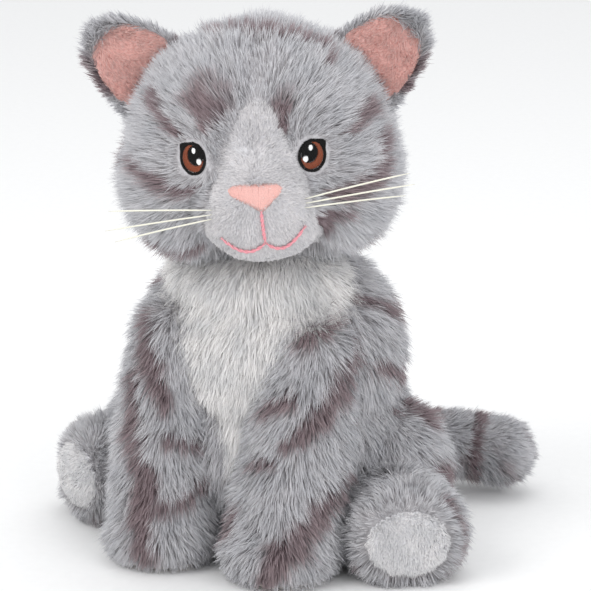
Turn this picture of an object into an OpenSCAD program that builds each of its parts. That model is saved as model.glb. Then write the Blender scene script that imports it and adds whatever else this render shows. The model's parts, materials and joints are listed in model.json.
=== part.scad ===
// Plush tabby kitten, sitting with its front legs straight and its head turned to its left.
// Millimetres. +Z is up and the face looks along -Y, so +X is the kitten's own left.
// The origin is on the surface that it sits on, a little ahead of the middle of its flat base.
// Every outside surface lies half-way into the pile: the cloth is about 3 mm further in.

/* [Body] */
// Widest radius of the body
body_r = 58; // [55:0.5:60]
// Height of the widest place of the body
belly_z = 46; // [43:1:50]
// How far the middle of the body sits behind the front of its base
body_back = 10; // [8:1:12]
// Height of the top of the body, under the neck
body_top = 121; // [118:0.5:122]
// Thickness of cloth and half its pile on every soft part
cover = 3; // [2:0.25:4]

/* [Head] */
// Width of the head from cheek to cheek
head_w = 115; // [110:1:118]
// Height and depth of the head
head_h = 104; // [98:1:106]
// Turn of the head to the kitten's left when it sits, in degrees
head_turn = 18; // [12:1:24]
// Tilt of the head towards the kitten's right shoulder, in degrees
head_tilt = -2.5; // [-4:0.5:0]
// Width of the white muzzle
muzzle_w = 56; // [52:1:60]
// Height of the white muzzle
muzzle_h = 42; // [40:1:46]
// Width of one eye over its black outline
eye_w = 11.5; // [10:0.5:13]
// Height of one eye over its black outline
eye_h = 14.5; // [13:0.5:16]
// Width of an ear at its base
ear_w = 46; // [42:1:48]
// Height of an ear above the head
ear_h = 36; // [32:1:38]
// Free length of a whisker
whisker_len = 44; // [36:1:52]

/* [Limbs and tail] */
// Radius of a front leg at the shoulder
shoulder_r = 20; // [18:0.5:21]
// Radius of a front leg at the paw
paw_r = 24.8; // [23.5:0.1:25.5]
// Radius of the haunch
haunch_r = 28; // [26:0.5:29]
// Radius of the hind foot
foot_r = 21; // [19:0.5:22]
// Radius of the tail
tail_r = 13; // [11:0.5:13.5]
// Length of the tail from its root to the middle of its rounded tip
tail_len = 66; // [60:1:72]

/* [Hidden] */
$fn = 48;
gap = 0.6; // clear space between parts that move past each other
big = 400;

body_low = 72; // height of the ellipse that the lower body follows
body_high = 108; // the same for the upper body
bib_from = -8; // the bib's cloth lies in front of this
neck_at = [0, -6, 130];
neck_r = 21.5;
head_at = [4, -14, 179];
head_a = head_w / 2;
head_b = head_h / 2;
muzzle_at = [2.5, -head_b + 14, -21];
ear_at = [0.74 * head_a, 3, 0.5 * head_b];
ear_rise = 42; // angle of the ear above the level, in degrees

shoulder_at = [30, -23, 92];
paw_at = [26.5, -48, 14];
hip_left = [49.5, 16, haunch_r + 0.4];
foot_left = [76.5, -32, foot_r + 0.3];
hip_right = [-52, 16, haunch_r + 0.4];
foot_right = [-76, -13, foot_r + 0.3];
pad_in = 12; // from the middle of the foot to the flat of its pad
tail_at = [17, 67, 25];
tail_curl = 16; // half the angle the tail bends through
tail_aim = 24; // direction of the tail's tip, from +X towards +Y

grey = [0.70, 0.70, 0.71];
white = [0.93, 0.93, 0.94];
pink = [0.88, 0.66, 0.64];
filling = [0.95, 0.94, 0.90];

// ---- Shared forms ----

// Half an ellipse beside the axis, from one pole to the other
function half_ellipse(along, out, n = 16) =
    [for (i = [0:n]) [out * sin(180 * i / n), -along * cos(180 * i / n)]];

// Radius of the body at height z: one ellipse below the belly, a taller one above
function body_radius(z) =
    body_r * sqrt(1 - pow((z - belly_z) / (z < belly_z ? body_low : body_high), 2));

function flip(p) = [-p[0], p[1], p[2]];
function paw(side) = side > 0 ? paw_at : flip(paw_at);
function shoulder(side) = side > 0 ? shoulder_at : flip(shoulder_at);
function hip(side) = side > 0 ? hip_left : hip_right;
function foot(side) = side > 0 ? foot_left : foot_right;

// Ball squashed along X, as wide as 2a and 2b across
module spheroid(a, b)
    rotate([0, 90, 0]) rotate_extrude() polygon(half_ellipse(a, b));

// Turns the children's +Z to point along v
module aim(v)
    rotate([0, acos(v[2] / norm(v)), atan2(v[1], v[0])]) children();

// Round limb from ball p to ball q
module limb(p, q, rp, rq) {
    translate(p) sphere(rp);
    translate(q) sphere(rq);
    translate(p) aim(q - p) cylinder(h = norm(q - p), r1 = rp - 0.3, r2 = rq - 0.3);
}

module above(z) translate([-big / 2, -big / 2, z]) cube(big);
module left_of(x) translate([x, -big / 2, -big / 2]) cube(big);

// ---- Body ----

module body_form(inset) {
    low = inset > 0 ? 2 : 0;
    high = body_top - inset;
    zs = [for (i = [0:10]) low + i * (high - low) / 10];
    translate([0, body_back, 0]) rotate_extrude()
        polygon(concat([[0, low]], [for (z = zs) [body_radius(z) - inset, z]], [[0, high]]));
}

// Space that the neck, the legs and the tail need, at rest and as they move. A front leg only
// swings forward, so nothing but the bib may stand in front of the plane of its axis.
module body_room() {
    translate(neck_at) sphere(neck_r + gap);
    translate(tail_at) rotate([0, 0, 60]) sphere(tail_r + gap);
    for (side = [1, -1]) {
        reach = 1.6 * (paw(side) - shoulder(side));
        translate(shoulder(side)) {
            rotate([25, 0, 0]) rotate([0, 0, -90]) sphere(shoulder_r + gap);
            aim(reach) rotate([0, 0, 180]) cylinder(h = norm(reach), r1 = shoulder_r + gap - 0.3,
                r2 = shoulder_r + 1.6 * (paw_r - shoulder_r) + gap - 0.3);
        }
        translate(hip(side)) rotate([90, 0, side > 0 ? 0 : 180]) sphere(haunch_r + gap);
        translate([side > 0 ? 29 : -29 - big, hip(side)[1] - big, -1]) cube([big, big, 77]);
    }
}

module before_legs() difference() {
    way = shoulder_at - paw_at;
    union() {
        translate([0, shoulder_at[1], shoulder_at[2]]) rotate([atan2(-way[1], way[2]), 0, 0])
            translate([-big / 2, -big, -big / 2]) cube([big, big, big / 2 + shoulder_r]);
        translate([-big / 2, paw_at[1] + paw_r - big, -1]) cube([big, big, 77]);
    }
    bib_outline();
}

// The bib is as wide as the chest over the legs, and narrows to a point between them
module bib_outline()
    translate([0, bib_from, 0]) rotate([90, 0, 0]) linear_extrude(big / 2)
        polygon([[-30, 140], [-30, 116], [-9, 97], [0, 56], [9, 97], [30, 116], [30, 140]]);

module body_cloth() difference() {
    body_form(0);
    body_form(cover);
    body_room();
    before_legs();
}

module body_side(side) color(grey) difference() {
    intersection() {
        difference() {
            body_form(0);
            body_room();
            before_legs();
            translate([-31, bib_from - big, -1]) cube([62, big, big]);
        }
        if (side > 0) left_of(0); else mirror([1, 0, 0]) left_of(0);
        above(2);
    }
    body_form(cover);
}

module chest_bib() color(white) intersection() {
    body_cloth();
    bib_outline();
}

module base_panel() color(grey) difference() {
    body_form(0);
    above(2);
    body_room();
    before_legs();
}

module pouch_form(inset)
    translate([0, 24, 24]) spheroid(18 - inset, 19 - inset);

module body_stuffing() color(filling) difference() {
    body_form(cover);
    body_room();
    before_legs();
    pouch_form(0);
}
module bean_pouch() color(white) difference() { pouch_form(0); pouch_form(1); }
module bean_fill() color([0.85, 0.87, 0.9]) pouch_form(1);

// ---- Neck ----

module neck_stuffing() color(filling) difference() {
    translate(neck_at) sphere(neck_r);
    translate(neck_at) translate([0, 0, -5]) rotate_extrude() translate([neck_r, 0]) circle(1.6);
}
module neck_thread() color(grey)
    translate(neck_at) translate([0, 0, -5]) rotate_extrude()
        translate([neck_r - 1.1, 0]) circle(0.45);

// ---- Head, drawn about its own middle with the face along -Y ----

module in_head() translate(head_at) rotate([0, head_tilt, head_turn]) children();

module head_form(inset) spheroid(head_a - inset, head_b - inset);
module muzzle_form(inset) translate(muzzle_at) spheroid(muzzle_w / 2 - inset, muzzle_h / 2 - inset);
module neck_room() translate(neck_at) sphere(neck_r + gap);

// Front part of a slab whose outline is drawn in the plane of the face
module face_slab(points) rotate([90, 0, 0]) linear_extrude(big / 2) polygon(points);

module blaze_outline() translate([muzzle_at[0], 0, 0])
    face_slab([[-18, -14], [-15, 1.5], [-5.5, 22.5], [5.5, 22.5], [15, 1.5], [18, -14]]);

module gusset_outline() {
    translate([muzzle_at[0], 0, 0]) face_slab([[-5.5, 22], [-24, 70], [21, 70], [5.5, 22]]);
    translate([-24, 0, -head_b]) cube([48, head_b + 5, big / 2]);
}

module head_cloth() difference() {
    head_form(0);
    head_form(cover);
    muzzle_form(0);
    blaze_outline();
}

module head_side(side) color(grey) difference() {
    in_head() difference() {
        head_cloth();
        if (side > 0) mirror([1, 0, 0]) left_of(0); else left_of(0);
        gusset_outline();
    }
    neck_room();
}

module head_gusset() color(grey) difference() {
    in_head() intersection() {
        head_cloth();
        gusset_outline();
    }
    neck_room();
}

module face_panel() color(white) difference() {
    in_head() {
        difference() {
            muzzle_form(0);
            muzzle_form(cover);
            head_form(cover);
        }
        difference() {
            intersection() { head_form(0); blaze_outline(); }
            head_form(cover);
            muzzle_form(0);
        }
    }
    neck_room();
}

module head_stuffing() color(filling) difference() {
    in_head() {
        head_form(cover);
        muzzle_form(cover);
    }
    neck_room();
}

// ---- Stitched features ----

module nose_stitching() color(pink) in_head() difference() {
    intersection() {
        translate([muzzle_at[0] + 0.5, 0, muzzle_at[2]])
            face_slab([[-12, 10.5], [-8, 13.5], [8, 13.5], [11, 11], [2.5, 3], [0.5, 3]]);
        muzzle_form(-1.1);
    }
    muzzle_form(0);
    head_form(0);
}

module mouth_stitching() color([0.92, 0.6, 0.66]) in_head() difference() {
    intersection() {
        translate([muzzle_at[0] + 2, 0, muzzle_at[2]]) rotate([90, 0, 0]) linear_extrude(big / 2) {
            translate([-0.8, -9]) square([1.6, 12]);
            for (side = [1, -1]) translate([side * 9.5, 0]) intersection() {
                difference() { circle(10.6); circle(9); }
                translate([-12, -12]) square([24, 10]);
            }
        }
        muzzle_form(-0.9);
    }
    muzzle_form(0);
    head_form(0);
}

module oval(w, h) polygon([for (i = [0:31]) [h / 2 * cos(i * 11.25), w / 2 * sin(i * 11.25)]]);

// Places a flat outline on the head where the eye is; x runs down the face and y across it
module on_eye(side) {
    x = 24.6 * side;
    z = 0.9;
    y = -head_b * sqrt(1 - pow(x / head_a, 2) - pow(z / head_b, 2));
    in_head() difference() {
        translate([x, y, z]) aim([x / pow(head_a, 2), y / pow(head_b, 2), z / pow(head_b, 2)])
            translate([0, 0, -3]) linear_extrude(4) mirror([0, side < 0 ? 1 : 0]) children();
        head_form(-0.15);
    }
}

module glint_outlines() {
    translate([-2.2, -0.4]) circle(0.75);
    translate([1.1, -1.5]) circle(1.05);
}
module pupil_outline() translate([0, -0.8]) oval(0.52 * eye_w, 0.54 * eye_h);

module eye_outline(side) color([0.05, 0.04, 0.04]) on_eye(side) difference() {
    oval(eye_w, eye_h);
    oval(eye_w - 2.4, eye_h - 2.4);
}
module eye_iris(side) color([0.48, 0.22, 0.1]) on_eye(side) difference() {
    oval(eye_w - 2.4, eye_h - 2.4);
    pupil_outline();
}
module eye_pupil(side) color([0.05, 0.04, 0.04]) on_eye(side) difference() {
    pupil_outline();
    glint_outlines();
}
module eye_glints(side) color([1, 1, 1]) on_eye(side) glint_outlines();

// One whisker of three; row 1 is the top, -1 the bottom
module whisker(side, row) color([0.93, 0.92, 0.86]) in_head()
    translate(muzzle_at + [side * 0.69 * muzzle_w / 2, -0.8 * muzzle_h / 2, row * 1.6])
        aim([side, -0.18 + 0.12 * row, 0.05 * side + 0.09 * row])
            cylinder(h = whisker_len - 4 * abs(row), r = 0.45, $fn = 16);

// ---- Ears: x runs along the base, y rises from it, and the lining faces forward ----

module on_ear(side) in_head() difference() {
    mirror([side < 0 ? 1 : 0, 0, 0]) translate(ear_at) rotate([0, 90 - ear_rise, -8])
        rotate([90, 0, 0]) children();
    head_form(-2.4);
}

module ear_outline(w, h, base)
    polygon(concat([[w / 2, base], [-w / 2, base]],
        [for (i = [0:20]) [-w / 2 * cos(i * 9), h * pow(sin(i * 9), 0.8)]]));

module ear_back(side) color(grey) on_ear(side)
    translate([0, 0, -5]) linear_extrude(5) ear_outline(ear_w, ear_h, -9);
module ear_lining(side) color(pink) on_ear(side)
    linear_extrude(2.4) ear_outline(0.68 * ear_w, 0.76 * ear_h, -6);

// ---- Front legs ----

module front_leg_form(side, inset)
    limb(shoulder(side), paw(side), shoulder_r - inset, paw_r - inset);

module front_leg(side) color(grey) difference() {
    intersection() { front_leg_form(side, 0); above(2); }
    front_leg_form(side, cover);
}
module front_paw_sole(side) color([0.85, 0.8, 0.75]) difference() {
    intersection() { front_leg_form(side, 0); above(0); }
    above(2);
}
module front_leg_stuffing(side) color(filling) intersection() {
    front_leg_form(side, cover);
    above(2);
}

// ---- Hind legs ----

module hind_leg_form(side, inset)
    limb(hip(side), foot(side), haunch_r - inset, foot_r - inset);

// Everything beyond the flat of the foot, from a distance d in front of its middle
module past_foot(side, d) {
    way = [foot(side)[0] - hip(side)[0], foot(side)[1] - hip(side)[1], 0];
    translate(foot(side)) aim(way) translate([-big / 2, -big / 2, d]) cube(big);
}

module hind_leg(side) color(grey) difference() {
    hind_leg_form(side, 0);
    hind_leg_form(side, cover);
    past_foot(side, pad_in);
}
module foot_pad(side) color(white) difference() {
    intersection() { hind_leg_form(side, 0); past_foot(side, pad_in); }
    past_foot(side, pad_in + 2);
}
module hind_leg_stuffing(side) color(filling) difference() {
    hind_leg_form(side, cover);
    past_foot(side, pad_in);
}

// ---- Tail: it starts at the rump and bends towards the kitten's left ----

module tail_form(inset) {
    r = tail_r - inset;
    bend = 0.25 * tail_len / sin(tail_curl); // radius of the arc that the tail follows
    first = tail_aim + 2 * tail_curl; // heading at the root; each quarter turns by tail_curl
    last = tail_aim - 2 * tail_curl;
    translate(tail_at) {
        aim([cos(first), sin(first), 0]) sphere(r - 0.2);
        translate(bend * [sin(first), -cos(first), 0]) {
            rotate([0, 0, last + 90]) rotate_extrude(angle = 4 * tail_curl)
                translate([bend, 0]) circle(r);
            translate(bend * [-sin(last), cos(last), 0]) aim([cos(last), sin(last), 0])
                sphere(r - 0.2);
        }
    }
}
module tail_root() translate(tail_at) aim([-0.6, -1, 0]) cylinder(h = big, r = 0.45 * tail_r);
module tail_cover() color(grey) difference() {
    tail_form(0);
    tail_form(cover);
    tail_root();
}
module tail_stuffing() color(filling) tail_form(cover);

// ---- Whole kitten ----

body_side(1);  // body_side_left
body_side(-1);  // body_side_right
chest_bib();
base_panel();
body_stuffing();
bean_pouch();
bean_fill();
neck_stuffing();
neck_thread();
head_side(1);  // head_side_left
head_side(-1);  // head_side_right
head_gusset();
face_panel();
head_stuffing();
nose_stitching();
mouth_stitching();
eye_outline(1);  // eye_outline_left
eye_iris(1);  // eye_iris_left
eye_pupil(1);  // eye_pupil_left
eye_glints(1);  // eye_glints_left
eye_outline(-1);  // eye_outline_right
eye_iris(-1);  // eye_iris_right
eye_pupil(-1);  // eye_pupil_right
eye_glints(-1);  // eye_glints_right
whisker(1, 1);  // whisker_left_top
whisker(1, 0);  // whisker_left_middle
whisker(1, -1);  // whisker_left_bottom
whisker(-1, 1);  // whisker_right_top
whisker(-1, 0);  // whisker_right_middle
whisker(-1, -1);  // whisker_right_bottom
ear_back(1);  // ear_back_left
ear_lining(1);  // ear_lining_left
ear_back(-1);  // ear_back_right
ear_lining(-1);  // ear_lining_right
front_leg(1);  // front_leg_left
front_paw_sole(1);  // front_paw_sole_left
front_leg_stuffing(1);  // front_leg_stuffing_left
front_leg(-1);  // front_leg_right
front_paw_sole(-1);  // front_paw_sole_right
front_leg_stuffing(-1);  // front_leg_stuffing_right
hind_leg(1);  // hind_leg_left
foot_pad(1);  // foot_pad_left
hind_leg_stuffing(1);  // hind_leg_stuffing_left
hind_leg(-1);  // hind_leg_right
foot_pad(-1);  // foot_pad_right
hind_leg_stuffing(-1);  // hind_leg_stuffing_right
tail_cover();
tail_stuffing();
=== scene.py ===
import json
import math

import bmesh
import bpy
import numpy as np
from mathutils import Matrix, Vector
from mathutils.bvhtree import BVHTree
from mathutils.kdtree import KDTree


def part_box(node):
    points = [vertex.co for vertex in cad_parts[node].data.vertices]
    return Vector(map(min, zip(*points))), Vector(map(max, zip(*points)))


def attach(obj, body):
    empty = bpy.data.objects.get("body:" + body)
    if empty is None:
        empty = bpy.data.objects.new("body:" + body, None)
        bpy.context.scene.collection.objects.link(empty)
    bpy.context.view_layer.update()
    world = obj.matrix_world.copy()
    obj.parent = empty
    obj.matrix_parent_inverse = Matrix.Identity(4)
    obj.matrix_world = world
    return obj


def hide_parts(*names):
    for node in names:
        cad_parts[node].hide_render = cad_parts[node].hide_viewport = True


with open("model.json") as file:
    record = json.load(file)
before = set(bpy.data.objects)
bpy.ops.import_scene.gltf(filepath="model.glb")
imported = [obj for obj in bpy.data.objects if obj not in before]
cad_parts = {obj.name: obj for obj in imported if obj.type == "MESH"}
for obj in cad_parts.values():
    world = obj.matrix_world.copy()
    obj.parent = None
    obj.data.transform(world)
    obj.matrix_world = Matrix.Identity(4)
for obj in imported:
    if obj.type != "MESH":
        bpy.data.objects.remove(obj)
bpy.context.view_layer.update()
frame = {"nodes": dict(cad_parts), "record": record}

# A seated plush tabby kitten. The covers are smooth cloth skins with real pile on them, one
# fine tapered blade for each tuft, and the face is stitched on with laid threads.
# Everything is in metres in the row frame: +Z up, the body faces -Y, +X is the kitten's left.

MM = 0.001
LEFT, RIGHT = 1, -1
SIDE = {LEFT: "left", RIGHT: "right"}

# ---- Where things are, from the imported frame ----

JOINT = {j["name"]: j for j in frame["record"]["behaviour"]["joints"]}


def joint_at(name):
    return np.array(JOINT[name]["pos_m"])


def middle(*nodes):
    """The middle of the box round some CAD nodes."""
    low = np.min([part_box(n)[0] for n in nodes], axis=0)
    high = np.max([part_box(n)[1] for n in nodes], axis=0)
    return (low + high) / 2


NECK = joint_at("head_turn")
BODY_MID = middle("body_stuffing")
HEAD_MID = middle("head_side_left", "head_side_right", "head_gusset")
NOD_AXIS = JOINT["head_nod"]["axis"]
HEAD_TURN = math.atan2(NOD_AXIS[1], NOD_AXIS[0])
HEAD_TILT = math.radians(-2.5)
# Head space: its origin is the middle of the head, -Y is the way the face looks.
HEAD = (
    Matrix.Translation(HEAD_MID)
    @ Matrix.Rotation(HEAD_TURN, 4, "Z")
    @ Matrix.Rotation(HEAD_TILT, 4, "Y")
)
HEAD_INV = np.array(HEAD.inverted())

# Half sizes of the head's cloth, which is well inside the CAD's half-pile surface
HEAD_R = np.array([52.5, 47.0, 47.5]) * MM

PILE = 9 * MM  # length of the long pile, and of the bib's
BLADE, FINE_BLADE, BIB_BLADE = 0.36 * MM, 0.34 * MM, 0.4 * MM  # widths
MOST_BLADES = 39000  # on one piece, so that its mesh stays under 200 000 triangles
NO_FLOOR = -1.0  # for pile that is made in head space, where the floor isn't at 0
SOLE = 0.8 * MM  # height of the flat soles
STUFFED_AT = 14  # the frame at which a cover is full
TURN = 6.283  # radians


# ---- Small tools ----


def norm(v):
    return v / np.maximum(np.linalg.norm(v, axis=-1, keepdims=True), 1e-12)


def move(matrix, p):
    return p @ matrix[:3, :3].T + matrix[:3, 3]


def smoothstep(low, high, x):
    t = np.clip((x - low) / (high - low), 0, 1)
    return t * t * (3 - 2 * t)


def wobble(p, scale, seed):
    """Smooth noise from -1 to 1 at points p; scale is the size of its lumps."""
    r = np.random.default_rng(seed)
    out = np.zeros(len(p))
    for octave, gain in ((1.0, 0.55), (2.1, 0.3), (4.3, 0.15)):
        for _ in range(3):
            way = norm(r.normal(size=3))
            out += gain / 1.6 * np.sin(p @ way * (octave * TURN / scale) + r.random() * TURN)
    return out


def link(name, data):
    """An object in the scene for a mesh, light or camera."""
    obj = bpy.data.objects.new(name, data)
    bpy.context.scene.collection.objects.link(obj)
    return obj


def new_object(name, verts, faces):
    mesh = bpy.data.meshes.new(name)
    mesh.from_pydata([tuple(v) for v in verts], [], [tuple(f) for f in faces])
    mesh.update()
    return link(name, mesh)


def read(items, field, width, kind=np.float32):
    a = np.empty(len(items) * width, kind)
    items.foreach_get(field, a)
    return a.reshape(-1, width)


def coords(mesh):
    return read(mesh.vertices, "co", 3).astype(float)


def face_middles(mesh):
    return read(mesh.polygons, "center", 3).astype(float)


def normals(mesh):
    return read(mesh.vertex_normals, "vector", 3).astype(float)


def edges_of(mesh):
    return read(mesh.edges, "vertices", 2, np.int32)


def triangles(mesh):
    mesh.calc_loop_triangles()
    return read(mesh.loop_triangles, "vertices", 3, np.int32)


def faces_of(mesh):
    return [tuple(p.vertices) for p in mesh.polygons]


def smooth(mesh):
    mesh.polygons.foreach_set("use_smooth", [True] * len(mesh.polygons))


def set_attribute(mesh, key, value):
    """A number at each point of a mesh, for its material."""
    attr = mesh.attributes.new(key, "FLOAT", "POINT")
    attr.data.foreach_set("value", value.astype(np.float32))


def set_coords(mesh, v):
    mesh.vertices.foreach_set("co", np.asarray(v, np.float32).ravel())
    mesh.update()


def relax(mesh, rounds):
    """Evens a mesh out without shrinking it."""
    e = edges_of(mesh)
    v = coords(mesh)
    count = np.bincount(e.ravel(), minlength=len(v))[:, None]
    for i in range(rounds * 2):
        total = np.zeros_like(v)
        for axis in range(3):
            total[:, axis] = np.bincount(e[:, 0], v[e[:, 1], axis], len(v)) + np.bincount(
                e[:, 1], v[e[:, 0], axis], len(v)
            )
        v += (0.5 if i % 2 == 0 else -0.52) * (total / np.maximum(count, 1) - v)
    set_coords(mesh, v)


def chain(p, q, rp, rq, n=7):
    """Balls along a limb from p to q, as (centre, radii)."""
    p, q = np.asarray(p, float), np.asarray(q, float)
    rp, rq = np.broadcast_to(rp, 3), np.broadcast_to(rq, 3)
    return [(p + (q - p) * t, rp + (rq - rp) * t) for t in np.linspace(0, 1, n)]


def blob(name, balls, voxel, rounds):
    """One smooth closed skin round balls given as (centre, radii)."""
    bm = bmesh.new()
    for centre, radii in balls:
        place = Matrix.Translation(centre) @ Matrix.Diagonal((*np.broadcast_to(radii, 3), 1.0))
        bmesh.ops.create_icosphere(bm, subdivisions=3, radius=1.0, matrix=place)
    mesh = bpy.data.meshes.new(name)
    bm.to_mesh(mesh)
    bm.free()
    obj = link(name, mesh)
    mod = obj.modifiers.new("remesh", "REMESH")
    mod.mode = "VOXEL"
    mod.voxel_size = voxel
    dg = bpy.context.evaluated_depsgraph_get()
    skin = bpy.data.meshes.new_from_object(obj.evaluated_get(dg))
    bpy.data.objects.remove(obj)
    skin.name = name
    relax(skin, rounds)
    return skin


def tree_of(mesh):
    return BVHTree.FromPolygons(coords(mesh).tolist(), triangles(mesh).tolist())


def seam_of(mesh, label):
    """1 at the points where faces of two labels meet."""
    sides = [set() for _ in mesh.vertices]
    for poly in mesh.polygons:
        for v in poly.vertices:
            sides[v].add(label[poly.index])
    return np.array([len(s) > 1 for s in sides], float)


def stuff(mesh, label, cap):
    """Fills a sewn cover: cloth under pressure, held along its seams, moved cap at most."""
    before = coords(mesh)
    obj = link("stuffed", mesh.copy())
    seams = obj.vertex_groups.new(name="seams")
    seams.add([int(i) for i in np.nonzero(seam_of(mesh, label))[0]], 1.0, "REPLACE")
    cloth = obj.modifiers.new("cloth", "CLOTH")
    cloth.settings.quality = 4
    cloth.settings.mass = 0.2
    cloth.settings.use_pressure = True
    cloth.settings.uniform_pressure_force = 4
    cloth.settings.vertex_group_mass = "seams"
    cloth.settings.effector_weights.gravity = 0
    cloth.point_cache.frame_start, cloth.point_cache.frame_end = 1, STUFFED_AT
    for f in range(1, STUFFED_AT + 1):
        bpy.context.scene.frame_set(f)
    dg = bpy.context.evaluated_depsgraph_get()
    filled = bpy.data.meshes.new_from_object(obj.evaluated_get(dg))
    shift = coords(filled) - before
    far = np.linalg.norm(shift, axis=1, keepdims=True)
    set_coords(mesh, before + shift * np.minimum(1, cap / np.maximum(far, 1e-9)))
    bpy.data.objects.remove(obj)
    bpy.data.meshes.remove(filled)
    bpy.context.scene.frame_set(1)


def crease(mesh, label, depth):
    """Sinks the skin along the seams, where faces of two labels meet."""
    seam = seam_of(mesh, label)
    e = edges_of(mesh)
    near = seam.copy()
    for fall in (0.5, 0.2):
        spread = near.copy()
        np.maximum.at(spread, e[:, 0], near[e[:, 1]] * fall)
        np.maximum.at(spread, e[:, 1], near[e[:, 0]] * fall)
        near = np.maximum(near, spread)
    set_coords(mesh, coords(mesh) - normals(mesh) * (near * depth)[:, None])


def split(mesh, label, names):
    """Cuts a skin into panels, one object for each label."""
    out = {}
    v = coords(mesh)
    for key, name in names.items():
        faces = [tuple(p.vertices) for p in mesh.polygons if label[p.index] == key]
        used = sorted({i for f in faces for i in f})
        back = {old: new for new, old in enumerate(used)}
        out[key] = new_object(name, v[used], [tuple(back[i] for i in f) for f in faces])
        smooth(out[key].data)
    return out


def inset_copy(mesh, name, depth):
    """A closed form a little inside a skin: the filling."""
    v = coords(mesh) - normals(mesh) * depth
    lumps = wobble(v, 22 * MM, 5) * 0.8 * MM
    v -= normals(mesh) * np.abs(lumps)[:, None]
    obj = new_object(name, v, faces_of(mesh))
    return obj


# ---- Stripes ----


def strokes_mask(p, strokes, soft=0.45):
    """1 on the stripes and 0 off them. A stroke is [(point, half width), ...]."""
    mask = np.zeros(len(p))
    waver = 1 + 0.45 * wobble(p, 11 * MM, 3)
    for stroke in strokes:
        for (a, wa), (b, wb) in zip(stroke, stroke[1:]):
            a, b = np.asarray(a, float), np.asarray(b, float)
            t = np.clip((p - a) @ (b - a) / max((b - a) @ (b - a), 1e-12), 0, 1)
            gap = np.linalg.norm(p - a - t[:, None] * (b - a), axis=1)
            w = (wa + (wb - wa) * t) * waver
            mask = np.maximum(mask, 1 - smoothstep(w * (1 - soft), w * (1 + soft), gap))
    return mask


def spot_on(tree, origin, way):
    """Where a ray from inside a skin comes out."""
    hit = tree.ray_cast(Vector(origin), Vector(way).normalized())[0]
    if hit is None:
        hit = Vector(origin) + Vector(way).normalized() * 0.04
    return np.array(hit)


def finer(row, steps):
    """A row of (angle, height, half width) with points added: steps(turn) for each stretch."""
    out = []
    for p, q in zip(row, row[1:]):
        for t in np.linspace(0, 1, steps(q[0] - p[0]), endpoint=False):
            out.append([a + (b - a) * t for a, b in zip(p, q)])
    return out + [row[-1]]


def mirrored(rows):
    return [[(-angle, *rest) for angle, *rest in row] for row in rows]


def ring_strokes(tree, origin_at, rows):
    """Strokes from [(angle, height, half width), ...]; angle 0 is the front, + is left."""
    out = []
    for row in rows:
        stroke = []
        for a, z, w in finer(row, lambda turn: max(2, int(abs(turn) / 12) + 1)):
            way = (math.sin(math.radians(a)), -math.cos(math.radians(a)), 0)
            stroke.append((spot_on(tree, origin_at(z), way), w * MM))
        out.append(stroke)
    return out


# ---- Pile ----


def scatter(mesh, count, seed):
    """Even random points on a mesh: places and smooth normals."""
    r = np.random.default_rng(seed)
    t = triangles(mesh)
    v, n = coords(mesh), normals(mesh)
    area = np.linalg.norm(np.cross(v[t[:, 1]] - v[t[:, 0]], v[t[:, 2]] - v[t[:, 0]]), axis=1)
    i = r.choice(len(t), count, p=area / area.sum())
    a, b = r.random((2, count, 1))
    flip = a + b > 1
    a, b = np.where(flip, 1 - a, a), np.where(flip, 1 - b, b)
    c = 1 - a - b
    tri = t[i]
    return (
        v[tri[:, 0]] * c + v[tri[:, 1]] * a + v[tri[:, 2]] * b,
        norm(n[tri[:, 0]] * c + n[tri[:, 1]] * a + n[tri[:, 2]] * b),
    )


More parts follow.
